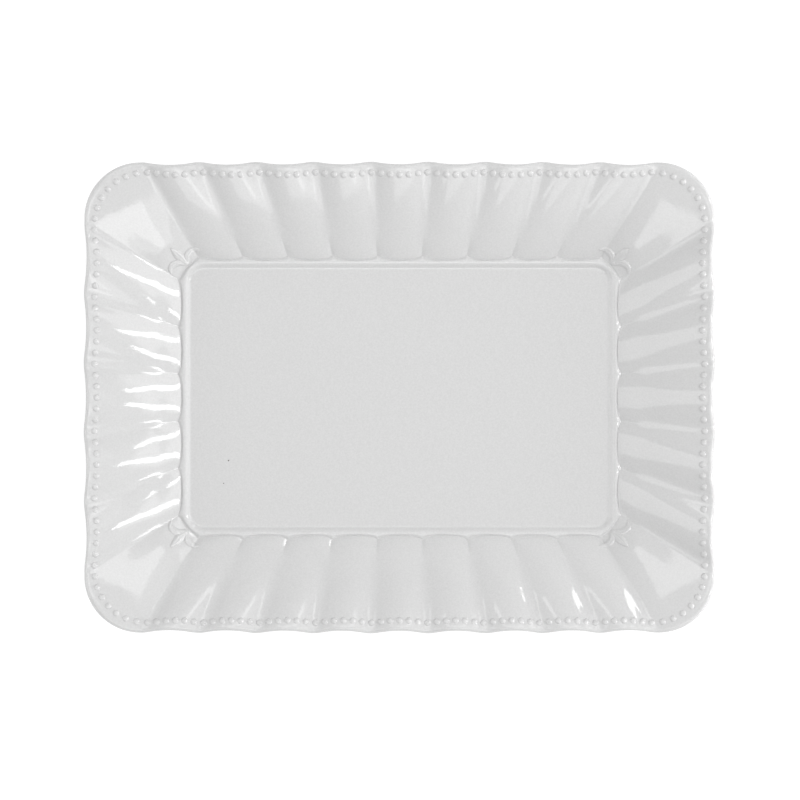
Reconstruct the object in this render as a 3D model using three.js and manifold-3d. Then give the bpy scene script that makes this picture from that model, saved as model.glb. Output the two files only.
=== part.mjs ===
// China serving platter: a sunk rectangular well inside a rolled moulding, a wide rim of radial
// pleats, a row of pearls near the edge, a three-leafed sprig on each corner and a foot ring.
//
// Millimetres. The origin is under the middle of the platter, on the surface it stands on.
// +X runs along the long side, +Y along the short side and +Z up.

import * as THREE from 'three';
import { mergeVertices } from 'three/addons/utils/BufferGeometryUtils.js';
import Module from 'manifold-3d';

// Overall size
const LENGTH = 406;
const WIDTH = 303;
const RIM_CORNER_RADIUS = 36;

// Foot and wall
const FOOT_HEIGHT = 5.5;
const FOOT_TOP_WIDTH = 8;
const FOOT_BASE_WIDTH = 4.6;
const FOOT_INSET = 4.5; // from the edge of the well's floor to the foot's outer side
const FOOT_CORNER_RADIUS = 15; // of the foot's corners, as if the foot ran under the floor's edge
const FOOT_CHAMFER = 0.8;
const FOOT_CORNER_STEPS = 8;
const WALL = 5;
const RIM_THICKENING = 0.6; // of the rim's wall over the well's
const HAUNCH = 0.5; // height that the underside gains under the moulding
const CLAY_GAP = 0.3; // between pieces of clay that the glaze joins

// Well and its rolled moulding
const FLOOR_HALF_LENGTH = 135.1;
const FLOOR_HALF_WIDTH = 83.3;
const FLOOR_CORNER_RADIUS = 9;
const FLOOR_Z = FOOT_HEIGHT + CLAY_GAP + WALL;
const GROOVE_RADIUS = 15;
const MOULDING_WIDTH = 7.4;
const MOULDING = [ // distance out from the floor's edge, height above the floor
  { out: 0, up: 0 },
  { out: 1.2, up: 0.35 },
  { out: 3.3, up: 1.8 },
  { out: 5.2, up: 2.22 },
  { out: 6.6, up: 1.62 },
];
const MOULDING_CREST = 5.2; // distance out to its crest
const GROOVE_Z = FLOOR_Z + 1.1;
const GROOVE_LAST_CREASE = { x: 130.3, y: 76 }; // where the corner pleat starts in the groove

// Pleated rim
const LONG_SIDE_PLEATS = 9;
const SHORT_SIDE_PLEATS = 5;
const CREASE_SHARE = 0.256; // part of half a pleat that the rounded crease takes
const CORNER_CREASE_SHARE = 0.1;
// A pleat's height over its creases, at the groove and at the outline
const LONG_SIDE_RISE = { start: 0.3, end: 3.1 };
const SHORT_SIDE_RISE = { start: 0.45, end: 3.6 };
const CORNER_RISE = { start: 3.4, end: 2.5 };
const CORNER_RISE_LENGTH = 0.25; // part of the rim over which a corner pleat comes up
const NOSE_HEIGHT = 0.35; // the rounded inner end of a pleat, over the groove
const NOSE_LENGTH = 3.5;
const NOSE_FADE = 17; // distance from the groove at which the nose has sunk into the rim
const SCALLOP_OUT = 1.5; // how far the groove runs out at a crease
const SCALLOP_DEPTH = 2.5; // how far it comes back in at a pleat's middle
// The rim's slope, at the groove and at the outline
const LONG_SIDE_SLOPE = { start: 0.57, end: 0.22 };
const SHORT_SIDE_SLOPE = { start: 0.5, end: 0.29 };
const OUTLINE_DIP = 1.9; // how far the outline falls in between two creases
const OUTLINE_LAST_CREASE = { x: 166.3, y: 112 }; // where the corner pleat starts on the outline
const EDGE_ROUND = 2.2;

// Pearls
const PEARL_INSET = 6.4;
const PEARL_WIDTH = 3.9;
const PEARL_HEIGHT = 1.7;
const PEARL_NECK = 0.35; // size of the clay between two pearls against a pearl
const PEARL_TOP_SHARE = 0.55; // width of a pearl's top against its base
const PEARL_FLAT = 0.2; // reach of a pearl's flat top each way, in pearl steps
const STRIP_END = 0.42; // reach of a strip past its end pearls, in pearl steps
const PEARLS_PER_PLEAT = 6;
const PEARLS_PER_CORNER = 8;

// Sprigs: each leaf's spine leads away from the joint at the moulding's corner
const SPRIG_JOINT = new THREE.Vector2(137.5, 86.3);
const SPRIG_LEAVES = [
  { width: 5.4, height: 1.7, spine: [[0.6, 0.6], [4, 3.8], [7.4, 7.2], [10.6, 10.2]] },
  { width: 4.0, height: 1.5, spine: [[0.8, 0.1], [6.2, 0.9], [10.6, -2], [10.6, -6.3]] },
  { width: 4.0, height: 1.5, spine: [[0.1, 0.8], [0.2, 5.6], [-3.4, 9.2], [-8, 9.6]] },
];
const LEAF_TOP_SHARE = 0.4; // width of a leaf's top against its base
const LEAF_SECTIONS = [0.04, 0.25, 0.5, 0.75, 0.97]; // places along a leaf
const SPRIG_KNOT_RADIUS = 1.8;
const SPRIG_KNOT_OUT = 0.8; // from the joint, along x and along y
const SPRIG_SINK = 1.2; // how far a leaf's edges reach down before they are cut to the surface

const SHORT_HALF = SHORT_SIDE_PLEATS / 2;
const LONG_HALF = LONG_SIDE_PLEATS / 2;
const QUADRANT = SHORT_HALF + 1 + LONG_HALF; // stations in a quarter of the way round
const ALL_STATIONS = 4 * QUADRANT;

const GLAZE = { color: 0xd9dad8, roughness: 0.12, metalness: 0 };
const BISCUIT = { color: 0xe6e0d4, roughness: 0.85, metalness: 0 };

// Grid on which the rim's surface is looked up under a sprig
const LOOKUP_STATION_STEP = 0.04;
const LOOKUP_T_STEP = 0.01;
const LOOKUP_T_END = 0.4;

const wasm = await Module();
wasm.setup();

// ---- Rings ---------------------------------------------------------------------------------
// A ring is a rounded rectangle. A station says how far round it a point is: it counts pleats,
// anticlockwise from the middle of the +X side, and the creases lie at the half stations.

function ring(halfLength, halfWidth, radius, lastCreaseX, lastCreaseY) {
  return { halfLength, halfWidth, radius, lastCreaseX, lastCreaseY };
}

const GROOVE = ring(
  FLOOR_HALF_LENGTH + MOULDING_WIDTH,
  FLOOR_HALF_WIDTH + MOULDING_WIDTH,
  GROOVE_RADIUS,
  GROOVE_LAST_CREASE.x,
  GROOVE_LAST_CREASE.y,
);
const OUTLINE = ring(
  LENGTH / 2,
  WIDTH / 2,
  RIM_CORNER_RADIUS,
  OUTLINE_LAST_CREASE.x,
  OUTLINE_LAST_CREASE.y,
);

function wellRing(out) {
  const share = Math.max(out, 0) / MOULDING_WIDTH;
  const radius = FLOOR_CORNER_RADIUS + out;
  const straightX = FLOOR_HALF_LENGTH - FLOOR_CORNER_RADIUS;
  const straightY = FLOOR_HALF_WIDTH - FLOOR_CORNER_RADIUS;
  return ring(
    FLOOR_HALF_LENGTH + out,
    FLOOR_HALF_WIDTH + out,
    radius,
    THREE.MathUtils.lerp(straightX, GROOVE.lastCreaseX, share),
    THREE.MathUtils.lerp(straightY, GROOVE.lastCreaseY, share),
  );
}

// How far along a straight side and the arc after it a coordinate lies.
function distanceTo(coordinate, straight, radius) {
  if (coordinate <= straight) return coordinate;
  return straight + radius * Math.asin((coordinate - straight) / radius);
}

function quadrantPoint(shape, station) {
  const straightX = shape.halfLength - shape.radius;
  const straightY = shape.halfWidth - shape.radius;
  const arc = shape.radius * Math.PI / 2;
  const total = straightY + arc + straightX;
  const first = distanceTo(shape.lastCreaseY, straightY, shape.radius);
  const second = total - distanceTo(shape.lastCreaseX, straightX, shape.radius);
  let along = first * station / SHORT_HALF;
  if (station > SHORT_HALF) along = THREE.MathUtils.lerp(first, second, station - SHORT_HALF);
  if (station > SHORT_HALF + 1) {
    along = THREE.MathUtils.lerp(second, total, (station - SHORT_HALF - 1) / LONG_HALF);
  }
  if (along <= straightY) return new THREE.Vector2(shape.halfLength, along);
  if (along >= straightY + arc) return new THREE.Vector2(total - along, shape.halfWidth);
  const angle = (along - straightY) / shape.radius;
  return new THREE.Vector2(
    straightX + shape.radius * Math.cos(angle),
    straightY + shape.radius * Math.sin(angle),
  );
}

// The station folded into the first quarter, with the signs that unfold a point.
function fold(station) {
  const turned = (station + ALL_STATIONS) % ALL_STATIONS;
  const quarter = Math.floor(turned / QUADRANT);
  const rest = turned - quarter * QUADRANT;
  return {
    folded: quarter % 2 === 0 ? rest : QUADRANT - rest,
    signX: quarter === 1 || quarter === 2 ? -1 : 1,
    signY: quarter >= 2 ? -1 : 1,
  };
}

function isCorner(folded) {
  return folded > SHORT_HALF && folded < SHORT_HALF + 1;
}

function ringPoint(shape, station) {
  const { folded, signX, signY } = fold(station);
  const point = quadrantPoint(shape, folded);
  return point.set(point.x * signX, point.y * signY);
}

// ---- The rim's upper surface ---------------------------------------------------------------

// A pleat's cross-section: 0 in the creases, 1 on its crown, with a rounded crease.
function pleatSection(station) {
  const offCentre = Math.abs(2 * (station - Math.round(station)));
  const crease = isCorner(fold(station).folded) ? CORNER_CREASE_SHARE : CREASE_SHARE;
  const start = 1 - crease;
  if (offCentre <= start) return (1 - offCentre ** 2 - crease) / start;
  return (1 - offCentre) ** 2 / crease;
}

// Moves a point near the groove outward at a crease and inward at a pleat's middle.
function scallop(point, station, share) {
  const { folded } = fold(station);
  const along = quadrantPoint(OUTLINE, folded).sub(quadrantPoint(GROOVE, folded)).normalize();
  const shift = (SCALLOP_OUT - SCALLOP_DEPTH * Math.sqrt(pleatSection(station))) * share;
  return point.addScaledVector(along, shift);
}

function rimPlan(t, station) {
  const { folded, signX, signY } = fold(station);
  const point = quadrantPoint(GROOVE, folded).lerp(quadrantPoint(OUTLINE, folded), t);
  scallop(point, station, 1 - THREE.MathUtils.smoothstep(t * RIM_SPAN, 0, NOSE_FADE));
  const dip = OUTLINE_DIP * t * pleatSection(station);
  if (folded < SHORT_HALF) point.x -= dip;
  if (folded > SHORT_HALF + 1) point.y -= dip;
  return point.set(point.x * signX, point.y * signY);
}

const RIM_SPAN = LENGTH / 2 - GROOVE.halfLength;
const EDGE_START = 1 - EDGE_ROUND / RIM_SPAN; // where the edge starts to round over

// Height of the creases, on a rim that flattens outward.
function rimBase(t, folded) {
  const turn = THREE.MathUtils.smoothstep(folded, SHORT_HALF, SHORT_HALF + 1);
  const start = THREE.MathUtils.lerp(SHORT_SIDE_SLOPE.start, LONG_SIDE_SLOPE.start, turn);
  const end = THREE.MathUtils.lerp(SHORT_SIDE_SLOPE.end, LONG_SIDE_SLOPE.end, turn);
  return GROOVE_Z + RIM_SPAN * (start * t - (start - end) / 2 * t * t);
}

function pleatHeight(t, folded) {
  if (isCorner(folded)) {
    const comeUp = THREE.MathUtils.smoothstep(t, 0, CORNER_RISE_LENGTH);
    return comeUp * THREE.MathUtils.lerp(CORNER_RISE.start, CORNER_RISE.end, t);
  }
  const rise = folded > SHORT_HALF ? LONG_SIDE_RISE : SHORT_SIDE_RISE;
  return THREE.MathUtils.lerp(rise.start, rise.end, t);
}

// The rounded inner end of a pleat: up out of the groove, then fading into the rim.
function nose(t) {
  const distance = t * RIM_SPAN;
  const share = Math.min(distance / NOSE_LENGTH, 1);
  const fade = 1 - THREE.MathUtils.smoothstep(distance, NOSE_LENGTH, NOSE_FADE);
  return NOSE_HEIGHT * Math.sqrt(1 - (1 - share) ** 2) * fade;
}

function rimPoint(t, station) {
  const plan = rimPlan(t, station);
  const { folded } = fold(station);
  const section = pleatSection(station);
  const z = rimBase(t, folded) + pleatHeight(t, folded) * section + nose(t) * Math.sqrt(section);
  return new THREE.Vector3(plan.x, plan.y, z);
}

// ---- Solids --------------------------------------------------------------------------------

// Joins equal loops of points into one closed solid: its ends are capped, or it closes on itself.
function loft(loops, closesOnItself = false) {
  const size = loops[0].length;
  const points = loops.flat();
  const faces = [];
  const bands = closesOnItself ? loops.length : loops.length - 1;
  for (let band = 0; band < bands; band += 1) {
    const here = band * size;
    const next = ((band + 1) % loops.length) * size;
    for (let i = 0; i < size; i += 1) {
      const j = (i + 1) % size;
      faces.push(here + i, here + j, next + j, here + i, next + j, next + i);
    }
  }
  if (!closesOnItself) {
    capLoop(points, faces, loops[0], 0, true);
    capLoop(points, faces, loops.at(-1), (loops.length - 1) * size, false);
  }
  return facingOut(points, faces);
}

function capLoop(points, faces, loop, start, reversed) {
  const centre = loop.reduce((sum, p) => sum.add(p), new THREE.Vector3()).divideScalar(loop.length);
  const hub = points.push(centre) - 1;
  for (let i = 0; i < loop.length; i += 1) {
    const a = start + i;
    const b = start + (i + 1) % loop.length;
    faces.push(hub, reversed ? b : a, reversed ? a : b);
  }
}

function facingOut(points, faces) {
  let volume = 0;
  for (let i = 0; i < faces.length; i += 3) {
    const [a, b, c] = [points[faces[i]], points[faces[i + 1]], points[faces[i + 2]]];
    volume += a.dot(b.clone().cross(c));
  }
  const geometry = new THREE.BufferGeometry().setFromPoints(points);
  geometry.setIndex(volume < 0 ? [...faces].reverse() : faces);
  return geometry;
}

const WELD_DISTANCE = 1e-4;

function toSolid(geometry) {
  const bare = new THREE.BufferGeometry().setIndex(geometry.index);
  bare.setAttribute('position', geometry.getAttribute('position'));
  const merged = mergeVertices(bare, WELD_DISTANCE);
  return new wasm.Manifold(new wasm.Mesh({
    numProp: 3,
    vertProperties: merged.getAttribute('position').array,
    triVerts: new Uint32Array(merged.index.array),
  }));
}

function toGeometry(solid) {
  const { vertProperties, numProp, triVerts } = solid.getMesh();
  const geometry = new THREE.BufferGeometry();
  geometry.setAttribute('position', new THREE.BufferAttribute(vertProperties, numProp));
  geometry.setIndex(new THREE.BufferAttribute(triVerts, 1));
  return geometry;
}

const meshes = [];

function addMesh(name, geometry, finish) {
  geometry.computeVertexNormals();
  const mesh = new THREE.Mesh(geometry, new THREE.MeshStandardMaterial(finish));
  mesh.name = name;
  meshes.push(mesh);
}

// ---- Platter body --------------------------------------------------------------------------

const PLEAT_STEPS = [0, 0.1, 0.36, 0.64, 0.9];
const CORNER_STEPS = [0, 0.08, 0.22, 0.36, 0.5, 0.64, 0.78, 0.92];
const UPPER_LOOPS = [0, 0.02, 0.07, 0.16, 0.28, 0.45, 0.65, 0.82, EDGE_START];
const UNDER_LOOPS = [0.75, 0.45, 0.2];

function allStations() {
  const stations = [];
  for (let pleat = 0; pleat < ALL_STATIONS; pleat += 1) {
    const crease = pleat + 0.5;
    const steps = isCorner(fold(crease + 0.5).folded) ? CORNER_STEPS : PLEAT_STEPS;
    stations.push(...steps.map((step) => crease + step));
  }
  return stations;
}

const STATIONS = allStations();

// A loop of the moulding, whose outer side follows the pleats' scalloped ends.
function mouldingLoop(out, up) {
  const share = THREE.MathUtils.smoothstep(out, MOULDING_CREST - 1, MOULDING_WIDTH);
  return STATIONS.map((station) => {
    const { folded, signX, signY } = fold(station);
    const point = scallop(quadrantPoint(wellRing(out), folded), station, share);
    return new THREE.Vector3(point.x * signX, point.y * signY, FLOOR_Z + up);
  });
}

function levelLoop(shape, z) {
  return STATIONS.map((station) => {
    const point = ringPoint(shape, station);
    return new THREE.Vector3(point.x, point.y, z);
  });
}

function rimLoop(t, drop = 0) {
  return STATIONS.map((station) => {
    const point = rimPoint(t, station);
    point.z -= drop;
    return point;
  });
}

function platterBody() {
  const undersideZ = FOOT_HEIGHT + CLAY_GAP;
  const edgeDrop = 2 * EDGE_ROUND;
  const loops = MOULDING.map(({ out, up }) => mouldingLoop(out, up));
  for (const t of UPPER_LOOPS) loops.push(rimLoop(t));
  loops.push(rimLoop(1, EDGE_ROUND));
  loops.push(rimLoop(EDGE_START, edgeDrop));
  for (const t of UNDER_LOOPS) loops.push(rimLoop(t, WALL + RIM_THICKENING));
  loops.push(levelLoop(wellRing(MOULDING_WIDTH), undersideZ + HAUNCH));
  loops.push(levelLoop(wellRing(0), undersideZ));
  return loft(loops);
}

// ---- Foot ring -----------------------------------------------------------------------------

function footLoop(out, z) {
  const radius = FOOT_CORNER_RADIUS + out;
  const shape = new THREE.Shape();
  const x = FLOOR_HALF_LENGTH - FOOT_CORNER_RADIUS;
  const y = FLOOR_HALF_WIDTH - FOOT_CORNER_RADIUS;
  shape.absarc(x, y, radius, 0, Math.PI / 2);
  shape.absarc(-x, y, radius, Math.PI / 2, Math.PI);
  shape.absarc(-x, -y, radius, Math.PI, 1.5 * Math.PI);
  shape.absarc(x, -y, radius, 1.5 * Math.PI, 2 * Math.PI);
  return shape.getPoints(FOOT_CORNER_STEPS).slice(0, -1).map((p) => new THREE.Vector3(p.x, p.y, z));
}

function footRing() {
  const middle = -FOOT_INSET - FOOT_TOP_WIDTH / 2;
  const section = [
    { out: middle - FOOT_TOP_WIDTH / 2, z: FOOT_HEIGHT },
    { out: middle - FOOT_BASE_WIDTH / 2, z: FOOT_CHAMFER },
    { out: middle - FOOT_BASE_WIDTH / 2 + FOOT_CHAMFER, z: 0 },
    { out: middle + FOOT_BASE_WIDTH / 2 - FOOT_CHAMFER, z: 0 },
    { out: middle + FOOT_BASE_WIDTH / 2, z: FOOT_CHAMFER },
    { out: middle + FOOT_TOP_WIDTH / 2, z: FOOT_HEIGHT },
  ];
  return loft(section.map(({ out, z }) => footLoop(out, z)), true);
}

// ---- Pearl border --------------------------------------------------------------------------
// Each strip is a string of pearls joined by narrow necks, lying on the rim along one side.

const PEARL_T = 1 - PEARL_INSET / RIM_SPAN;

// A cross-section of the string at a station; size is 1 in a pearl and less in a neck.
function pearlSection(station, size) {
  const span = ringPoint(OUTLINE, station).distanceTo(ringPoint(GROOVE, station));
  const half = PEARL_WIDTH * size / 2 / span;
  const top = PEARL_HEIGHT * size;
  const corners = [
    { across: -half, up: 0 },
    { across: half, up: 0 },
    { across: PEARL_TOP_SHARE * half, up: top },
    { across: -PEARL_TOP_SHARE * half, up: top },
  ];
  return corners.map(({ across, up }) => {
    const point = rimPoint(PEARL_T + across, station);
    point.z += CLAY_GAP + up;
    return point;
  });
}

// The stations of the pearls from one crease to another, both creases included.
function pearlStations(firstCrease, lastCrease) {
  const stations = [];
  for (let crease = firstCrease; crease < lastCrease; crease += 1) {
    const count = isCorner(fold(crease + 0.5).folded) ? PEARLS_PER_CORNER : PEARLS_PER_PLEAT;
    for (let i = 0; i < count; i += 1) stations.push(crease + i / count);
  }
  return [...stations, lastCrease];
}

function pearlStrip(stations) {
  const step = stations[1] - stations[0];
  const loops = [pearlSection(stations[0] - STRIP_END * step, PEARL_NECK)];
  stations.forEach((at, i) => {
    const next = stations[i + 1] ?? at + 2 * STRIP_END * step;
    loops.push(pearlSection(at - PEARL_FLAT * step, 1));
    loops.push(pearlSection(at + PEARL_FLAT * step, 1));
    loops.push(pearlSection((at + next) / 2, PEARL_NECK));
  });
  return loft(loops);
}

// ---- Corner sprigs -------------------------------------------------------------------------

// The height of the platter's upper surface near a corner, read from the rim's own grid.
function surfaceNear(x, y) {
  const target = new THREE.Vector2(x, y);
  let best = Infinity;
  let z = 0;
  for (let station = SHORT_HALF - 1; station <= SHORT_HALF + 2; station += LOOKUP_STATION_STEP) {
    for (let t = 0; t < LOOKUP_T_END; t += LOOKUP_T_STEP) {
      const point = rimPoint(t, station);
      const distance = target.distanceTo(new THREE.Vector2(point.x, point.y));
      if (distance < best) {
        best = distance;
        z = point.z;
      }
    }
  }
  return z;
}

function leaf({ width, height, spine }) {
  const curve = new THREE.CatmullRomCurve3(spine.map(([x, y]) => new THREE.Vector3(x, y, 0)));
  const loops = LEAF_SECTIONS.map((share) => {
    const point = curve.getPointAt(share);
    const side = curve.getTangentAt(share).cross(new THREE.Vector3(0, 0, 1));
    const swell = Math.sin(Math.PI * (0.12 + 0.86 * share));
    const x = SPRIG_JOINT.x + point.x;
    const y = SPRIG_JOINT.y + point.y;
    const surface = surfaceNear(x, y);
    const top = height * swell;
    const section = [
      { across: 1, up: -SPRIG_SINK },
      { across: LEAF_TOP_SHARE, up: top },
      { across: -LEAF_TOP_SHARE, up: top },
      { across: -1, up: -SPRIG_SINK },
    ];
    return section.map(({ across, up }) => {
      const offset = side.clone().multiplyScalar(across * width * swell / 2);
      return new THREE.Vector3(x + offset.x, y + offset.y, surface + CLAY_GAP + up);
    });
  });
  return loft(loops);
}

// The leaves and their knot are cut to the platter's surface, a clay gap above it.
function sprig(body) {
  const knot = new THREE.SphereGeometry(SPRIG_KNOT_RADIUS, 10, 6);
  const z = surfaceNear(SPRIG_JOINT.x, SPRIG_JOINT.y) + SPRIG_KNOT_RADIUS / 2;
  knot.translate(SPRIG_JOINT.x + SPRIG_KNOT_OUT, SPRIG_JOINT.y + SPRIG_KNOT_OUT, z);
  const pieces = [knot, ...SPRIG_LEAVES.map(leaf)].map(toSolid);
  const whole = pieces.reduce((sum, piece) => sum.add(piece));
  return toGeometry(whole.subtract(toSolid(body).translate([0, 0, CLAY_GAP])));
}

function mirrored(geometry, signX, signY) {
  const copy = geometry.clone().scale(signX, signY, 1);
  if (signX * signY < 0) copy.setIndex([...copy.index.array].reverse());
  return copy;
}

// ---- Assembly ------------------------------------------------------------------------------

const body = platterBody();
addMesh('platter_body', body, GLAZE);
addMesh('foot_ring', footRing(), BISCUIT);

// The long sides' strips also go round the corners, as far as the last crease on each.
const backRight = SHORT_HALF;
const backLeft = ALL_STATIONS / 2 - SHORT_HALF;
const frontLeft = ALL_STATIONS / 2 + SHORT_HALF;
const frontRight = ALL_STATIONS - SHORT_HALF;
addMesh('pearl_border_back', pearlStrip(pearlStations(backRight, backLeft)), GLAZE);
addMesh('pearl_border_front', pearlStrip(pearlStations(frontLeft, frontRight)), GLAZE);
addMesh('pearl_border_left', pearlStrip(pearlStations(backLeft, frontLeft).slice(1, -1)), GLAZE);
addMesh('pearl_border_right', pearlStrip(pearlStations(-SHORT_HALF, backRight).slice(1, -1)), GLAZE);

const cornerSprig = sprig(body);
addMesh('leaf_sprig_back_right', mirrored(cornerSprig, 1, 1), GLAZE);
addMesh('leaf_sprig_back_left', mirrored(cornerSprig, -1, 1), GLAZE);
addMesh('leaf_sprig_front_right', mirrored(cornerSprig, 1, -1), GLAZE);
addMesh('leaf_sprig_front_left', mirrored(cornerSprig, -1, -1), GLAZE);

const platter = new THREE.Group();
platter.name = 'china_serving_platter';
platter.add(...meshes);

export default platter;
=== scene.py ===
import math
from collections import namedtuple

import bpy
import numpy as np
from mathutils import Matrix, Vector
from mathutils.bvhtree import BVHTree
from mathutils.geometry import delaunay_2d_cdt


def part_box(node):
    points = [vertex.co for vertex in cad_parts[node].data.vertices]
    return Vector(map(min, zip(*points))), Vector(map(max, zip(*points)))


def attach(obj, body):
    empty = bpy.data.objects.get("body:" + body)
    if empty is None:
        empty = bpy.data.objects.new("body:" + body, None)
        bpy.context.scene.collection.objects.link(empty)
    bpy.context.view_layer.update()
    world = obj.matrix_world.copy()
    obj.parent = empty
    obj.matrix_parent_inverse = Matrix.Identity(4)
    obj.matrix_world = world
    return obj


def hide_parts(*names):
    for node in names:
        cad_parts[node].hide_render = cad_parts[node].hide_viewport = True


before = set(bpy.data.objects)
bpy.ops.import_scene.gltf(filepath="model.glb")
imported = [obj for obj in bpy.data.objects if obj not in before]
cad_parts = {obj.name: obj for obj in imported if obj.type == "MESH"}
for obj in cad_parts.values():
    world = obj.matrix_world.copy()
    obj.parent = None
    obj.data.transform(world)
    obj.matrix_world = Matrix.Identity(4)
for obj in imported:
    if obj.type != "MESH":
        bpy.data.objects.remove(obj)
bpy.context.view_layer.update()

# Shapes are worked out in millimetres, in the CAD model's frame. Each mesh is made in metres.
MM = 0.001

# ---- Driving dimensions --------------------------------------------------------------------

BODY_LOW, BODY_HIGH = (np.array(corner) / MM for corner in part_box("platter_body"))
FOOT_HALF_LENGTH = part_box("foot_ring")[1][0] / MM
LENGTH, WIDTH = (BODY_HIGH - BODY_LOW)[:2]
UNDERSIDE_Z = BODY_LOW[2]

RIM_CORNER_RADIUS = 36
WALL = 5
RIM_THICKENING = 0.6  # of the rim's wall over the well's
FLOOR_HALF_LENGTH = 135.1
FLOOR_HALF_WIDTH = 83.3
FLOOR_CORNER_RADIUS = 9
FOOT_CORNER_RADIUS = 15  # as if the foot ran under the floor's edge
FLOOR_Z = UNDERSIDE_Z + WALL
GROOVE_RADIUS = 15
MOULDING_WIDTH = 7.4
GROOVE_UP = 1.1
# The moulding's section: distance out from the floor's edge, height above the floor.
MOULDING = [
    (-0.5, 0), (0, 0.02), (0.5, 0.1), (1.1, 0.3), (1.8, 0.78), (2.6, 1.38), (3.5, 1.88), (4.4, 2.16),
    (5.3, 2.22), (6.0, 2.02), (6.6, 1.62), (7.05, 1.28), (MOULDING_WIDTH, GROOVE_UP),
]
MOULDING_CREST = 5.2
GROOVE_LAST_CREASE = (130.3, 76)  # where the corner pleat starts, in the groove
OUTLINE_LAST_CREASE = (166.3, 112)

LONG_SIDE_PLEATS = 9
SHORT_SIDE_PLEATS = 5
# Part of half a pleat that the rounded crease takes: on a side, at a corner, at the scalloped inner
# ends of the pleats and on the underside.
CREASE_SHARE = 0.256
CORNER_CREASE_SHARE = 0.10
END_CREASE_SHARE = 0.1
UNDERSIDE_CREASE_SHARE = 0.3
# A pleat's height over its creases, at the groove and at the outline.
LONG_SIDE_RISE = (0.3, 3.1)
SHORT_SIDE_RISE = (0.45, 3.6)
CORNER_RISE = (3.4, 2.5)
CORNER_RISE_REACH = 0.25  # part of the rim over which a corner pleat comes up
UNDERSIDE_RISE_REACH = (0.03, 0.35)  # part of the rim over which the pleats come up on the underside
NOSE_HEIGHT = 0.35  # the rounded inner end of a pleat, over the groove
NOSE_LENGTH = 3.5
NOSE_FADE = 17  # distance from the groove at which the nose has sunk into the rim
SCALLOP_OUT = 1.5  # how far the groove runs out at a crease
SCALLOP_DEPTH = 2.5  # how far it comes back in at a pleat's middle
# The rim's slope, at the groove and at the outline.
LONG_SIDE_SLOPES = (0.57, 0.22)
SHORT_SIDE_SLOPES = (0.50, 0.29)
RIPPLE_HEIGHT = 0.03  # the hand-finished rim is never quite true
RIPPLE_LENGTH = 9
RIPPLE_REACH = 0.15  # part of the rim over which the ripple comes up
OUTLINE_DIP = 1.9
EDGE_ROUND = 2.2

PEARL_INSET = 6.4
PEARL_RADIUS = 1.95
PEARL_HEIGHT = 1.0
PEARLS_PER_PLEAT = 6
PEARLS_PER_CORNER = 8

SHORT_HALF = SHORT_SIDE_PLEATS / 2
LONG_HALF = LONG_SIDE_PLEATS / 2
QUADRANT = SHORT_HALF + 1 + LONG_HALF
ALL_STATIONS = 4 * QUADRANT

# ---- Rings: rounded rectangles, with stations that count pleats round them -------------------

Ring = namedtuple("Ring", "half_length half_width radius last_crease_x last_crease_y")

GROOVE = Ring(
    FLOOR_HALF_LENGTH + MOULDING_WIDTH,
    FLOOR_HALF_WIDTH + MOULDING_WIDTH,
    GROOVE_RADIUS,
    *GROOVE_LAST_CREASE,
)
OUTLINE = Ring(LENGTH / 2, WIDTH / 2, RIM_CORNER_RADIUS, *OUTLINE_LAST_CREASE)
RIM_SPAN = OUTLINE.half_length - GROOVE.half_length
GROOVE_Z = FLOOR_Z + GROOVE_UP
PEARL_T = 1 - PEARL_INSET / RIM_SPAN


def mix(a, b, share):
    return a + (b - a) * share


def smoothstep(low, high, value):
    share = np.clip((value - low) / (high - low), 0, 1)
    return share * share * (3 - 2 * share)


def well_ring(out):
    """The ring that runs a distance outside the floor's edge."""
    share = max(out, 0) / MOULDING_WIDTH
    return Ring(
        FLOOR_HALF_LENGTH + out,
        FLOOR_HALF_WIDTH + out,
        FLOOR_CORNER_RADIUS + out,
        mix(FLOOR_HALF_LENGTH - FLOOR_CORNER_RADIUS, GROOVE.last_crease_x, share),
        mix(FLOOR_HALF_WIDTH - FLOOR_CORNER_RADIUS, GROOVE.last_crease_y, share),
    )


def distance_to(coordinate, straight, radius):
    """How far along a straight side and the arc after it a coordinate lies."""
    if coordinate <= straight:
        return coordinate
    return straight + radius * math.asin((coordinate - straight) / radius)


def fold(stations):
    """Stations folded into the first quarter, with the signs that unfold a point."""
    turned = np.mod(stations, ALL_STATIONS)
    quarter = np.floor(turned / QUADRANT)
    rest = turned - quarter * QUADRANT
    folded = np.where(quarter % 2 == 0, rest, QUADRANT - rest)
    sign_x = np.where((quarter == 1) | (quarter == 2), -1, 1)
    sign_y = np.where(quarter >= 2, -1, 1)
    return folded, sign_x, sign_y


def in_corner(folded):
    return (folded > SHORT_HALF) & (folded < SHORT_HALF + 1)


def starts_corner(crease):
    """Whether the pleat after a crease is a corner pleat."""
    return in_corner(fold(np.array([crease + 0.5]))[0])[0]


def quadrant_points(shape, folded):
    """Points of a ring's first quarter."""
    straight_x = shape.half_length - shape.radius
    straight_y = shape.half_width - shape.radius
    arc = shape.radius * math.pi / 2
    total = straight_y + arc + straight_x
    first = distance_to(shape.last_crease_y, straight_y, shape.radius)
    second = total - distance_to(shape.last_crease_x, straight_x, shape.radius)
    along = np.interp(folded, [0, SHORT_HALF, SHORT_HALF + 1, QUADRANT], [0, first, second, total])
    angle = np.clip((along - straight_y) / shape.radius, 0, math.pi / 2)
    x = np.where(along >= straight_y + arc, total - along, straight_x + shape.radius * np.cos(angle))
    y = np.where(along <= straight_y, along, straight_y + shape.radius * np.sin(angle))
    return x, y


def ring_points(shape, stations):
    folded, sign_x, sign_y = fold(stations)
    x, y = quadrant_points(shape, folded)
    return x * sign_x, y * sign_y


# ---- The rim's surface -----------------------------------------------------------------------


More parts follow.
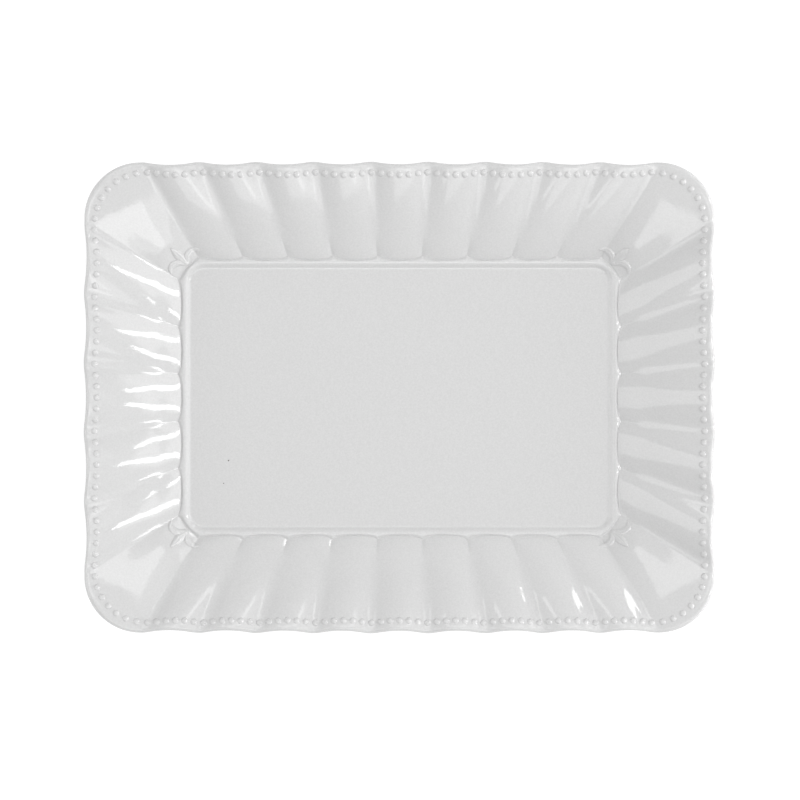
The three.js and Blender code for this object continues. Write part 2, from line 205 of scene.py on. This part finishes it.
def pleat_section(stations, crease_share=CREASE_SHARE):
    """A pleat's cross-section: 0 in the creases, 1 on its crown, with a rounded crease."""
    off_centre = np.abs(2 * (stations - np.round(stations)))
    corner = in_corner(fold(stations)[0])
    crease_share = np.where(corner, min(crease_share, CORNER_CREASE_SHARE), crease_share)
    start = 1 - crease_share
    crown = (1 - off_centre**2 - crease_share) / start
    crease = (1 - off_centre) ** 2 / crease_share
    return np.where(off_centre <= start, crown, crease)


def pleat_height(t, folded):
    """Height of a pleat's crown over its creases."""
    side = np.where(folded > SHORT_HALF, mix(*LONG_SIDE_RISE, t), mix(*SHORT_SIDE_RISE, t))
    corner = smoothstep(0, CORNER_RISE_REACH, t) * mix(*CORNER_RISE, t)
    return np.where(in_corner(folded), corner, side)


def rounded_end(stations):
    """The cross-section of a pleat's inner end, which is rounder than the pleat."""
    return np.sqrt(pleat_section(stations, END_CREASE_SHARE))


def nose(t):
    """The rounded inner end of a pleat: up out of the groove, then fading into the rim."""
    distance = t * RIM_SPAN
    share = np.clip(distance / NOSE_LENGTH, 0, 1)
    fade = 1 - smoothstep(NOSE_LENGTH, NOSE_FADE, distance)
    return NOSE_HEIGHT * np.sqrt(1 - (1 - share) ** 2) * fade


def rim_base(t, folded):
    """Height of the creases, on a rim that flattens outward."""
    turn = smoothstep(SHORT_HALF, SHORT_HALF + 1, folded)
    start = mix(SHORT_SIDE_SLOPES[0], LONG_SIDE_SLOPES[0], turn)
    end = mix(SHORT_SIDE_SLOPES[1], LONG_SIDE_SLOPES[1], turn)
    return GROOVE_Z + RIM_SPAN * (start * t - (start - end) / 2 * t * t)


def ripple(x, y, t):
    """The slight unevenness of a hand-finished surface: two sets of waves that never line up."""
    u, v = x / RIPPLE_LENGTH, y / RIPPLE_LENGTH
    short_waves = np.sin(u + 0.6 * np.sin(0.7 * v)) * np.sin(0.9 * v + 1.3)
    long_waves = 0.6 * np.sin(0.45 * u - 0.8 * v + 0.5)
    return RIPPLE_HEIGHT * (short_waves + long_waves) * smoothstep(0, RIPPLE_REACH, t)


def scallop(stations, share):
    """How far a point near the groove moves out at a crease, or in at a pleat's middle."""
    return (SCALLOP_OUT - SCALLOP_DEPTH * rounded_end(stations)) * share


def outward(folded):
    """The direction in plan along a pleat, from the groove to the outline."""
    inner_x, inner_y = quadrant_points(GROOVE, folded)
    outer_x, outer_y = quadrant_points(OUTLINE, folded)
    across_x, across_y = outer_x - inner_x, outer_y - inner_y
    length = np.hypot(across_x, across_y)
    return across_x / length, across_y / length


def rim_points(t, stations):
    """Points of the rim's upper surface: t runs from 0 in the groove to 1 at the outline."""
    folded, sign_x, sign_y = fold(stations)
    inner_x, inner_y = quadrant_points(GROOVE, folded)
    outer_x, outer_y = quadrant_points(OUTLINE, folded)
    section = pleat_section(stations)
    dip = OUTLINE_DIP * t * section
    dip_x = np.where(folded < SHORT_HALF, dip, 0)
    dip_y = np.where(folded > SHORT_HALF + 1, dip, 0)
    shift = scallop(stations, 1 - smoothstep(0, NOSE_FADE / RIM_SPAN, t))
    along_x, along_y = outward(folded)
    x = sign_x * (mix(inner_x, outer_x, t) + along_x * shift - dip_x)
    y = sign_y * (mix(inner_y, outer_y, t) + along_y * shift - dip_y)
    z = rim_base(t, folded) + pleat_height(t, folded) * section + nose(t) * rounded_end(stations)
    return np.stack([x, y, z + ripple(x, y, t)], axis=-1)


# ---- Mesh making -----------------------------------------------------------------------------


def make_piece(name, points, faces, material, slot):
    """A smooth mesh object from points in millimetres, riding on the platter's one body."""
    mesh = bpy.data.meshes.new(name)
    mesh.from_pydata([tuple(p) for p in np.asarray(points) * MM], [], [tuple(f) for f in faces])
    mesh.polygons.foreach_set("use_smooth", [True] * len(mesh.polygons))
    mesh.materials.append(material)
    mesh.validate()
    piece = bpy.data.objects.new(name, mesh)
    bpy.context.scene.collection.objects.link(piece)
    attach(piece, "root")
    return piece


def band_faces(loop_count, size, joined=False):
    """Quads that join loop to loop; joined also joins the last loop to the first."""
    i = np.arange(size)
    j = (i + 1) % size
    bands = loop_count if joined else loop_count - 1
    faces = []
    for band in range(bands):
        here = band * size
        there = ((band + 1) % loop_count) * size
        faces.append(np.stack([here + i, here + j, there + j, there + i], axis=-1))
    return np.concatenate(faces)


def smooth_curve(points, count):
    """A Catmull-Rom curve through points, sampled evenly in its parameter."""
    p = np.array(points, dtype=float)
    p = np.vstack([2 * p[0] - p[1], p, 2 * p[-1] - p[-2]])
    out = []
    for u in np.linspace(0, len(points) - 1, count):
        i = min(int(u), len(points) - 2)
        s = u - i
        a, b, c, d = p[i : i + 4]
        square = 2 * a - 5 * b + 4 * c - d
        cube = 3 * b - a - 3 * c + d
        out.append((2 * b + (c - a) * s + square * s**2 + cube * s**3) / 2)
    return np.array(out)


STATION_CROWDING = 0.1  # how far stations move towards the creases, as part of a pleat


def spread_stations(per_pleat, per_corner):
    """Stations all the way round, closer together near the creases."""
    stations = []
    for pleat in range(int(ALL_STATIONS)):
        crease = pleat + 0.5
        count = per_corner if starts_corner(crease) else per_pleat
        even = np.arange(count) / count
        stations.append(crease + even - STATION_CROWDING * np.sin(2 * math.pi * even))
    return np.concatenate(stations)


# ---- Materials -------------------------------------------------------------------------------


def node(tree, kind, **inputs):
    """A new node, with the values of some of its inputs."""
    made = tree.nodes.new(kind)
    for name, value in inputs.items():
        made.inputs[name.replace("_", " ")].default_value = value
    return made


def new_material(name):
    """A material with its node tree, its shader and its object coordinates."""
    material = bpy.data.materials.new(name)
    material.use_nodes = True
    tree = material.node_tree
    coordinates = tree.nodes.new("ShaderNodeTexCoord").outputs["Object"]
    return material, tree, tree.nodes["Principled BSDF"], coordinates


def noise(tree, coordinates, **inputs):
    made = node(tree, "ShaderNodeTexNoise", **inputs)
    tree.links.new(coordinates, made.inputs["Vector"])
    return made.outputs["Fac"]


def colour_ramp(tree, factor, stops):
    """Colours between two stops, each a position and a colour."""
    ramp = tree.nodes.new("ShaderNodeValToRGB")
    for element, (position, colour) in zip(ramp.color_ramp.elements, stops):
        element.position = position
        element.color = colour
    tree.links.new(factor, ramp.inputs["Fac"])
    return ramp.outputs["Color"]


def map_range(tree, value, **inputs):
    made = node(tree, "ShaderNodeMapRange", **inputs)
    tree.links.new(value, made.inputs["Value"])
    return made.outputs["Result"]


def mix_colour(tree, factor, colour, other):
    """A colour that turns into another, fixed one as the factor goes from 0 to 1."""
    made = tree.nodes.new("ShaderNodeMix")
    made.data_type = "RGBA"
    made.inputs["B"].default_value = other
    tree.links.new(factor, made.inputs["Factor"])
    tree.links.new(colour, made.inputs["A"])
    return made.outputs["Result"]


def add_bump(tree, shader, height, strength, distance):
    made = node(tree, "ShaderNodeBump", Strength=strength, Distance=distance)
    tree.links.new(height, made.inputs["Height"])
    tree.links.new(made.outputs["Normal"], shader.inputs["Normal"])


# Dark specks of iron fired into the glaze: place in millimetres and radius.
IRON_SPECKS = [((-111, -40.9, FLOOR_Z), 0.6), ((-114.2, -55.7, FLOOR_Z), 0.45)]
IRON_BROWN = (0.05, 0.045, 0.04, 1)
SPECK_STRENGTH = 0.9
GLAZE_STOPS = [(0.3, (0.592, 0.592, 0.592, 1)), (0.7, (0.650, 0.650, 0.650, 1))]
GLAZE_ROUGHNESS = 0.05
GLAZE_IOR = 1.52


def glaze_material():
    """Glossy white glaze: a faint mottle, a slight orange peel and a few iron specks."""
    material, tree, shader, coordinates = new_material("white_glaze")
    mottle = noise(tree, coordinates, Scale=900.0, Detail=3.0, Roughness=0.6)
    colour = colour_ramp(tree, mottle, GLAZE_STOPS)
    for place, radius in IRON_SPECKS:
        offset = tree.nodes.new("ShaderNodeVectorMath")
        offset.operation = "DISTANCE"
        offset.inputs[1].default_value = [c * MM for c in place]
        tree.links.new(coordinates, offset.inputs[0])
        stain = map_range(
            tree,
            offset.outputs["Value"],
            From_Min=radius / 2 * MM,
            From_Max=radius * MM,
            To_Min=SPECK_STRENGTH,
            To_Max=0,
        )
        colour = mix_colour(tree, stain, colour, IRON_BROWN)
    tree.links.new(colour, shader.inputs["Base Color"])
    add_bump(tree, shader, noise(tree, coordinates, Scale=260.0, Detail=2.0), 0.03, 0.001)
    shader.inputs["Roughness"].default_value = GLAZE_ROUGHNESS
    shader.inputs["IOR"].default_value = GLAZE_IOR
    return material


# The foot is bare up to the first height and fully glazed from the second.
BARE_CLAY_TOP = 0.9
GLAZE_BOTTOM = 1.3
BARE_CLAY_ROUGHNESS = 0.8
CLAY_STOPS = [(0, (0.60, 0.56, 0.50, 1)), (1, (0.72, 0.68, 0.62, 1))]
FOOT_GLAZE_WHITE = (0.62, 0.62, 0.62, 1)


def biscuit_material():
    """Bare fired clay on the foot's bearing face, glaze above it."""
    material, tree, shader, coordinates = new_material("bare_foot")
    grain = noise(tree, coordinates, Scale=1500.0, Detail=4.0)
    clay = colour_ramp(tree, grain, CLAY_STOPS)
    place = tree.nodes.new("ShaderNodeSeparateXYZ")
    tree.links.new(coordinates, place.inputs["Vector"])
    glazed = map_range(
        tree, place.outputs["Z"], From_Min=BARE_CLAY_TOP * MM, From_Max=GLAZE_BOTTOM * MM
    )
    colour = mix_colour(tree, glazed, clay, FOOT_GLAZE_WHITE)
    tree.links.new(colour, shader.inputs["Base Color"])
    roughness = map_range(tree, glazed, To_Min=BARE_CLAY_ROUGHNESS, To_Max=GLAZE_ROUGHNESS)
    tree.links.new(roughness, shader.inputs["Roughness"])
    add_bump(tree, shader, grain, 0.3, 0.0002)
    return material


GLAZE = glaze_material()
BISCUIT = biscuit_material()

# ---- Platter body ----------------------------------------------------------------------------

PATCH_SPACING = 7
WELD_DISTANCE = 1e-6
EDGE_START = 1 - EDGE_ROUND / RIM_SPAN
# How many points or loops each part of the surface takes.
PLEAT_POINTS = 26
CORNER_PLEAT_POINTS = 52
MOULDING_LOOPS = 30
NOSE_LOOPS = 9
RIM_LOOPS = 38
EDGE_LOOPS = 10
UNDERSIDE_LOOPS = 14
# Where the underside's loops run: from under the edge to near the groove.
UNDERSIDE_SPAN = (EDGE_START - 0.03, 0.02)
# The underside below the moulding: distance out from the floor's edge, height over its flat middle.
HAUNCH = [(MOULDING_WIDTH, 0.6), (5, 0.3), (2.5, 0.1), (0, 0)]


def level_loop(shape, z, stations):
    x, y = ring_points(shape, stations)
    return np.stack([x, y, np.full_like(x, z)], axis=-1)


def edge_loops(stations, count):
    """The rounded edge, tangent to the rim's upper surface where it starts."""
    start = rim_points(EDGE_START, stations)
    before = rim_points(EDGE_START - 0.01, stations)
    ahead = start - before
    ahead /= np.linalg.norm(ahead, axis=-1, keepdims=True)
    up = np.array([0, 0, 1]) - ahead * ahead[:, 2:3]
    up /= np.linalg.norm(up, axis=-1, keepdims=True)
    centre = start - up * EDGE_ROUND
    angles = np.linspace(0, math.pi, count + 1)[1:]
    return [centre + EDGE_ROUND * (up * math.cos(a) + ahead * math.sin(a)) for a in angles]


def underside_loop(t, stations):
    """A loop of the rim's underside, which shows the pleats more softly."""
    points = rim_points(t, stations)
    folded = fold(stations)[0]
    share = pleat_section(stations, UNDERSIDE_CREASE_SHARE) * smoothstep(*UNDERSIDE_RISE_REACH, t)
    rise = share * pleat_height(t, folded)
    points[:, 2] = rim_base(t, folded) + rise - (WALL + RIM_THICKENING)
    return points


def moulding_loop(out, up, stations):
    """A loop of the moulding, whose outer side follows the pleats' scalloped ends."""
    folded, sign_x, sign_y = fold(stations)
    x, y = quadrant_points(well_ring(out), folded)
    shift = scallop(stations, smoothstep(MOULDING_CREST - 1, MOULDING_WIDTH, out))
    along_x, along_y = outward(folded)
    x = (x + along_x * shift) * sign_x
    y = (y + along_y * shift) * sign_y
    return np.stack([x, y, np.full_like(x, FLOOR_Z + up)], axis=-1)


def patch(ring_loop, spacing):
    """Triangles that fill a level loop, through a grid of points inside it."""
    inside_x = FLOOR_HALF_LENGTH - spacing
    inside_y = FLOOR_HALF_WIDTH - spacing
    across = np.linspace(-inside_x, inside_x, round(2 * inside_x / spacing))
    along = np.linspace(-inside_y, inside_y, round(2 * inside_y / spacing))
    corner_reach = FLOOR_CORNER_RADIUS - spacing / 2
    places = [Vector(p[:2]) for p in ring_loop]
    for x in across:
        for y in along:
            over_x = abs(x) - (FLOOR_HALF_LENGTH - FLOOR_CORNER_RADIUS)
            over_y = abs(y) - (FLOOR_HALF_WIDTH - FLOOR_CORNER_RADIUS)
            if min(over_x, over_y) < 0 or math.hypot(over_x, over_y) < corner_reach:
                places.append(Vector((x, y)))
    border = [list(range(len(ring_loop)))]
    placed, _, faces, sources, _, _ = delaunay_2d_cdt(places, [], border, 1, WELD_DISTANCE)
    if [source[0] for source in sources] != list(range(len(places))):
        raise ValueError("the floor patch moved its points")
    inner = np.array([(p.x, p.y, ring_loop[0][2]) for p in placed[len(ring_loop) :]])
    return inner, faces


def platter_loops(stations):
    """Loops from the floor's edge over the moulding, the rim and the lip, and back underneath."""
    loops = []
    for out, up in smooth_curve(MOULDING, MOULDING_LOOPS)[:-1]:
        loops.append(moulding_loop(out, up, stations))
    near = NOSE_LENGTH * (1 - np.cos(np.linspace(0, math.pi / 2, NOSE_LOOPS)))
    rest = np.linspace(NOSE_LENGTH, EDGE_START * RIM_SPAN, RIM_LOOPS)[1:]
    for distance in np.concatenate([near, rest]):
        loops.append(rim_points(distance / RIM_SPAN, stations))
    loops += edge_loops(stations, EDGE_LOOPS)
    for t in np.linspace(*UNDERSIDE_SPAN, UNDERSIDE_LOOPS):
        loops.append(underside_loop(t, stations))
    for out, up in HAUNCH:
        loops.append(level_loop(well_ring(out), UNDERSIDE_Z + up, stations))
    return loops


def platter_body():
    loops = platter_loops(spread_stations(PLEAT_POINTS, CORNER_PLEAT_POINTS))
    size = len(loops[0])
    faces = [tuple(f[::-1]) for f in band_faces(len(loops), size)]
    points = np.concatenate(loops)
    last_start = (len(loops) - 1) * size
    for loop, start, facing_up in ((loops[0], 0, True), (loops[-1], last_start, False)):
        inner, patch_faces = patch(loop, PATCH_SPACING)
        ids = [*range(start, start + size), *range(len(points), len(points) + len(inner))]
        points = np.vstack([points, inner])
        for f in patch_faces:
            face = tuple(ids[i] for i in f)
            faces.append(face if facing_up else face[::-1])
    return points, faces


body_points, body_faces = platter_body()
body = make_piece("platter_glazed_body", body_points, body_faces, GLAZE, "white_glaze")
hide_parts("platter_body")
body_tree = BVHTree.FromPolygons([tuple(p) for p in body_points], [tuple(f) for f in body_faces])


ABOVE_ALL = 200


def surface_under(x, y):
    """The upper surface's point and normal at a place in plan."""
    place, normal, _, _ = body_tree.ray_cast(Vector((x, y, ABOVE_ALL)), Vector((0, 0, -1)))
    return place, normal


# ---- Foot ring -------------------------------------------------------------------------------


# The foot's section: distance out from the outer edge of its top, height over the table.
FOOT_SECTION = [
    (1.6, UNDERSIDE_Z + 0.1), (0.2, UNDERSIDE_Z - 0.5), (-0.7, 3.4), (-1.5, 1.2), (-1.9, 0.35), (-2.6, 0),
    (-4.4, 0), (-5.4, 0), (-6.1, 0.35), (-6.5, 1.2), (-7.3, 3.4), (-8.2, UNDERSIDE_Z - 0.5),
    (-9.6, UNDERSIDE_Z + 0.1),
]
FOOT_SIDE_POINTS = 6
FOOT_CORNER_POINTS = 24


def foot_shape(out):
    """The ring that runs a distance outside the floor's edge, with the foot's own corners."""
    return Ring(
        FLOOR_HALF_LENGTH + out,
        FLOOR_HALF_WIDTH + out,
        FOOT_CORNER_RADIUS + out,
        FLOOR_HALF_LENGTH - FOOT_CORNER_RADIUS,
        FLOOR_HALF_WIDTH - FOOT_CORNER_RADIUS,
    )


def foot_ring():
    stations = spread_stations(FOOT_SIDE_POINTS, FOOT_CORNER_POINTS)
    top_outer = FOOT_HALF_LENGTH - FLOOR_HALF_LENGTH
    loops = [level_loop(foot_shape(top_outer + out), z, stations) for out, z in FOOT_SECTION]
    faces = band_faces(len(loops), len(stations), joined=True)
    return np.concatenate(loops), [f[::-1] for f in faces]


foot = make_piece("foot_ring_fine", *foot_ring(), BISCUIT, "bare_foot")
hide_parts("foot_ring")

# ---- Pearls ----------------------------------------------------------------------------------


def pearl_stations(first_crease, last_crease):
    """The stations of the pearls from one crease to another, both creases included."""
    stations = []
    crease = first_crease
    while crease < last_crease:
        count = PEARLS_PER_CORNER if starts_corner(crease) else PEARLS_PER_PLEAT
        stations += [crease + i / count for i in range(count)]
        crease += 1
    return stations + [last_crease]


PEARL_SIDES = 20
PEARL_STEPS = 6
DOME_ANGLE = 1.0  # where the dome ends and the flare starts, in radians from the crown
FLARE_RADIUS = PEARL_RADIUS * 1.2
FLARE_SINK = 0.04  # keeps the flare's end just under the rim's surface


def pearl_profile():
    """Radius and height from a pearl's crown down to the flare where it meets the rim."""
    profile = []
    for angle in np.linspace(0, DOME_ANGLE, PEARL_STEPS)[1:]:
        profile.append((PEARL_RADIUS * math.sin(angle), PEARL_HEIGHT * math.cos(angle)))
    dome_radius, dome_height = profile[-1]
    slope = -PEARL_HEIGHT / PEARL_RADIUS * math.tan(DOME_ANGLE)
    for s in np.linspace(0, 1, PEARL_STEPS)[1:]:
        height = (2 * s**3 - 3 * s**2 + 1) * dome_height
        height += (s**3 - 2 * s**2 + s) * slope * (FLARE_RADIUS - dome_radius)
        height -= (3 * s**2 - 2 * s**3) * FLARE_SINK
        profile.append((mix(dome_radius, FLARE_RADIUS, s), height))
    return profile


PEARL_PROFILE = pearl_profile()


def pearl(station):
    """A pearl that follows the rim's surface, with its crown along the rim's normal."""
    x, y, _ = rim_points(PEARL_T, np.array([station]))[0]
    top, lean = surface_under(x, y)
    points = [top + lean * PEARL_HEIGHT]
    for radius, height in PEARL_PROFILE:
        for side in range(PEARL_SIDES):
            angle = 2 * math.pi * side / PEARL_SIDES
            place, _ = surface_under(x + radius * math.cos(angle), y + radius * math.sin(angle))
            points.append(place + lean * height)
    faces = [(0, 1 + i, 1 + (i + 1) % PEARL_SIDES) for i in range(PEARL_SIDES)]
    faces += [tuple(1 + f) for f in band_faces(len(PEARL_PROFILE), PEARL_SIDES)[:, ::-1]]
    return [tuple(p) for p in points], faces


def join_parts(parts):
    """The points and faces of several parts as one mesh."""
    points, faces = [], []
    for part_points, part_faces in parts:
        start = len(points)
        points += list(part_points)
        faces += [tuple(start + i for i in f) for f in part_faces]
    return points, faces


BACK_RIGHT, BACK_LEFT = SHORT_HALF, ALL_STATIONS / 2 - SHORT_HALF
FRONT_LEFT, FRONT_RIGHT = ALL_STATIONS / 2 + SHORT_HALF, ALL_STATIONS - SHORT_HALF
PEARL_ROWS = {
    "back": pearl_stations(BACK_RIGHT, BACK_LEFT),
    "front": pearl_stations(FRONT_LEFT, FRONT_RIGHT),
    "left": pearl_stations(BACK_LEFT, FRONT_LEFT)[1:-1],
    "right": pearl_stations(-SHORT_HALF, SHORT_HALF)[1:-1],
}
for side_name, row in PEARL_ROWS.items():
    pearls = join_parts([pearl(station) for station in row])
    strip = make_piece(f"pearls_{side_name}", *pearls, GLAZE, "white_glaze")
    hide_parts(f"pearl_border_{side_name}")

# ---- Corner sprigs ---------------------------------------------------------------------------

SPRIG_JOINT = (137.5, 86.3)
SPRIG_LEAVES = [
    {"width": 5.6, "height": 1.5, "spine": [(0.6, 0.6), (4, 3.8), (7.4, 7.2), (10.6, 10.2)]},
    {"width": 4.2, "height": 1.3, "spine": [(0.8, 0.1), (6.2, 0.9), (10.6, -2), (10.6, -6.3)]},
    {"width": 4.2, "height": 1.3, "spine": [(0.1, 0.8), (0.2, 5.6), (-3.4, 9.2), (-8, 9.6)]},
]
LEAF_STEPS = 36
LEAF_ACROSS = 16
LEAF_SINK = 0.06  # keeps a leaf's edge just under the surface it lies on
LEAF_BASE_SHARE = 0.1  # how far into its swelling a leaf starts
LEAF_FULLNESS = 0.8
LEAF_LEAST_HALF = 0.25  # half the width that a leaf keeps at its tip
LEAF_LEAST_HEIGHT = 0.3  # part of its height that a leaf keeps at its tip
LEAF_CROWN_POWER = 2.2
VEIN_DEPTH = 0.22
VEIN_WIDTH = 0.18
KNOT_RADIUS = 2.1
KNOT_HEIGHT = 1.2
KNOT_SIDES = 24
KNOT_RINGS = 8


def leaf(width, height, spine, sign_x, sign_y):
    """A veined leaf along a spine, laid on the platter's surface."""
    path = smooth_curve(spine, LEAF_STEPS)
    ahead = np.gradient(path, axis=0)
    ahead /= np.linalg.norm(ahead, axis=1, keepdims=True)
    side = np.stack([ahead[:, 1], -ahead[:, 0]], axis=-1)
    points = []
    for i, share in enumerate(np.linspace(0, 1, LEAF_STEPS)):
        swell = math.sin(math.pi * mix(LEAF_BASE_SHARE, 1, share)) ** LEAF_FULLNESS
        half = width / 2 * swell + LEAF_LEAST_HALF
        for across in np.linspace(-1, 1, LEAF_ACROSS + 1):
            x = (SPRIG_JOINT[0] + path[i, 0] + side[i, 0] * half * across) * sign_x
            y = (SPRIG_JOINT[1] + path[i, 1] + side[i, 1] * half * across) * sign_y
            crown = 1 - abs(across) ** LEAF_CROWN_POWER
            vein = VEIN_DEPTH * math.exp(-((across / VEIN_WIDTH) ** 2))
            lift = height * mix(LEAF_LEAST_HEIGHT, 1, swell) * (crown - vein * swell) - LEAF_SINK
            place, _ = surface_under(x, y)
            points.append((x, y, place.z + lift))
    row = LEAF_ACROSS + 1
    faces = []
    for i in range(LEAF_STEPS - 1):
        for j in range(LEAF_ACROSS):
            a = i * row + j
            face = (a, a + 1, a + row + 1, a + row)
            faces.append(face if sign_x * sign_y > 0 else face[::-1])
    return points, faces


def knot(sign_x, sign_y):
    """The low boss that the three leaves spring from."""
    centre_x = SPRIG_JOINT[0] + KNOT_RADIUS / 2
    centre_y = SPRIG_JOINT[1] + KNOT_RADIUS / 2
    points = []
    for ring_share in np.linspace(0, 1, KNOT_RINGS + 1)[1:]:
        for side in range(KNOT_SIDES):
            angle = 2 * math.pi * side / KNOT_SIDES
            x = (centre_x + KNOT_RADIUS * ring_share * math.cos(angle)) * sign_x
            y = (centre_y + KNOT_RADIUS * ring_share * math.sin(angle)) * sign_y
            place, _ = surface_under(x, y)
            points.append((x, y, place.z + KNOT_HEIGHT * (1 - ring_share**2) - LEAF_SINK))
    top, _ = surface_under(centre_x * sign_x, centre_y * sign_y)
    points.append((centre_x * sign_x, centre_y * sign_y, top.z + KNOT_HEIGHT - LEAF_SINK))
    hub = len(points) - 1
    faces = [(hub, i, (i + 1) % KNOT_SIDES) for i in range(KNOT_SIDES)]
    faces += [tuple(f) for f in band_faces(KNOT_RINGS, KNOT_SIDES)[:, ::-1]]
    if sign_x * sign_y < 0:
        faces = [f[::-1] for f in faces]
    return points, faces


for back, sign_y in (("back", 1), ("front", -1)):
    for side_name, sign_x in (("right", 1), ("left", -1)):
        parts = [leaf(sign_x=sign_x, sign_y=sign_y, **shape) for shape in SPRIG_LEAVES]
        parts.append(knot(sign_x, sign_y))
        made = make_piece(f"sprig_{back}_{side_name}", *join_parts(parts), GLAZE, "white_glaze")
        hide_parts(f"leaf_sprig_{back}_{side_name}")

# ---- Stage, lights and camera ----------------------------------------------------------------


STAGE_REACH = 12
STAGE_GREY = (0.35, 0.35, 0.35, 1)
STAGE_GLOW = 0.74  # lifts the floor to an even white
WHITE = (1, 1, 1, 1)


def stage_floor():
    mesh = bpy.data.meshes.new("stage_floor")
    corners = [(-1, -1), (1, -1), (1, 1), (-1, 1)]
    mesh.from_pydata([(STAGE_REACH * x, STAGE_REACH * y, 0) for x, y in corners], [], [(0, 1, 2, 3)])
    material = bpy.data.materials.new("stage_white")
    material.use_nodes = True
    shader = material.node_tree.nodes["Principled BSDF"]
    shader.inputs["Base Color"].default_value = STAGE_GREY
    shader.inputs["Roughness"].default_value = 0.9
    shader.inputs["Specular IOR Level"].default_value = 0
    shader.inputs["Emission Color"].default_value = WHITE
    shader.inputs["Emission Strength"].default_value = STAGE_GLOW
    mesh.materials.append(material)
    floor = bpy.data.objects.new("stage_floor", mesh)
    bpy.context.scene.collection.objects.link(floor)


def area_light(name, place, target, size_x, size_y, radiance):
    """A soft rectangular lamp of a given radiance, facing its target."""
    lamp = bpy.data.lights.new(name, "AREA")
    lamp.shape = "RECTANGLE"
    lamp.size = size_x
    lamp.size_y = size_y
    lamp.energy = radiance * math.pi * size_x * size_y
    made = bpy.data.objects.new(name, lamp)
    made.location = place
    made.rotation_mode = "QUATERNION"
    made.rotation_quaternion = (Vector(place) - Vector(target)).to_track_quat("Z", "Y")
    made.visible_camera = False
    bpy.context.scene.collection.objects.link(made)


def polar(azimuth, elevation, distance):
    """A place given by its compass angle from +X, its angle over the horizon and its distance."""
    around, up = math.radians(azimuth), math.radians(elevation)
    level = distance * math.cos(up)
    return (level * math.cos(around), level * math.sin(around), distance * math.sin(up))


WORLD_STRENGTH = 0.50
LIGHT_DISTANCE = 2.4
CORNER_PANEL = (0.28, 0.60, 2.0)
# Each panel: azimuth, elevation, width, height, radiance. All stand LIGHT_DISTANCE from the platter
# and face it.
PANELS = {
    "key_right": (10, 34, 2.1, 1.1, 1.55),
    "low_right": (-20, 11, 2.4, 0.5, 4.2),
    "fill_left": (180, 44, 0.84, 1.6, 1.5),
    "low_left": (180, 20, 3.4, 0.5, 1.7),
    "high_front": (-70, 62, 1.8, 0.7, 1.4),
    "high_right": (30, 64, 1.6, 0.7, 0.5),
    "panel_back": (90, 32, 2.4, 0.9, 0.35),
    "line_front": (-90, 74, 0.6, 0.6, 2.4),
    "line_back": (90, 74, 0.6, 0.6, 1.8),
    "strip_right_back": (13, 37, 0.20, 0.98, 9),
    "strip_right_front": (-13, 37, 0.20, 0.98, 9),
    "spot_back_right": (52, 32, 0.26, 0.40, 8),
    "corner_back_right": (55, 63, *CORNER_PANEL),
    "corner_back_left": (125, 63, *CORNER_PANEL),
    "corner_front_left": (-125, 63, *CORNER_PANEL),
    "corner_front_right": (-55, 63, *CORNER_PANEL),
}


def studio():
    world = bpy.data.worlds.new("studio")
    bpy.context.scene.world = world
    world.use_nodes = True
    background = world.node_tree.nodes["Background"]
    background.inputs["Color"].default_value = WHITE
    background.inputs["Strength"].default_value = WORLD_STRENGTH
    for name, (azimuth, elevation, width, height, radiance) in PANELS.items():
        place = polar(azimuth, elevation, LIGHT_DISTANCE)
        area_light(name, place, (0, 0, 0), width, height, radiance)


SENSOR_WIDTH = 36
CAMERA_HEIGHT = 3.0  # over the platter's highest point
CAMERA_X, CAMERA_Y = 0.0003, -0.0016
VIEW_WIDTH = 0.5147  # at the height of the platter's highest point


def camera():
    """A camera that looks straight down."""
    lens_data = bpy.data.cameras.new("camera")
    lens_data.sensor_width = SENSOR_WIDTH
    lens_data.lens = SENSOR_WIDTH * CAMERA_HEIGHT / VIEW_WIDTH
    made = bpy.data.objects.new("camera", lens_data)
    made.location = (CAMERA_X, CAMERA_Y, BODY_HIGH[2] * MM + CAMERA_HEIGHT)
    bpy.context.scene.collection.objects.link(made)
    bpy.context.scene.camera = made


stage_floor()
studio()
camera()
bpy.context.scene.view_settings.view_transform = "Standard"
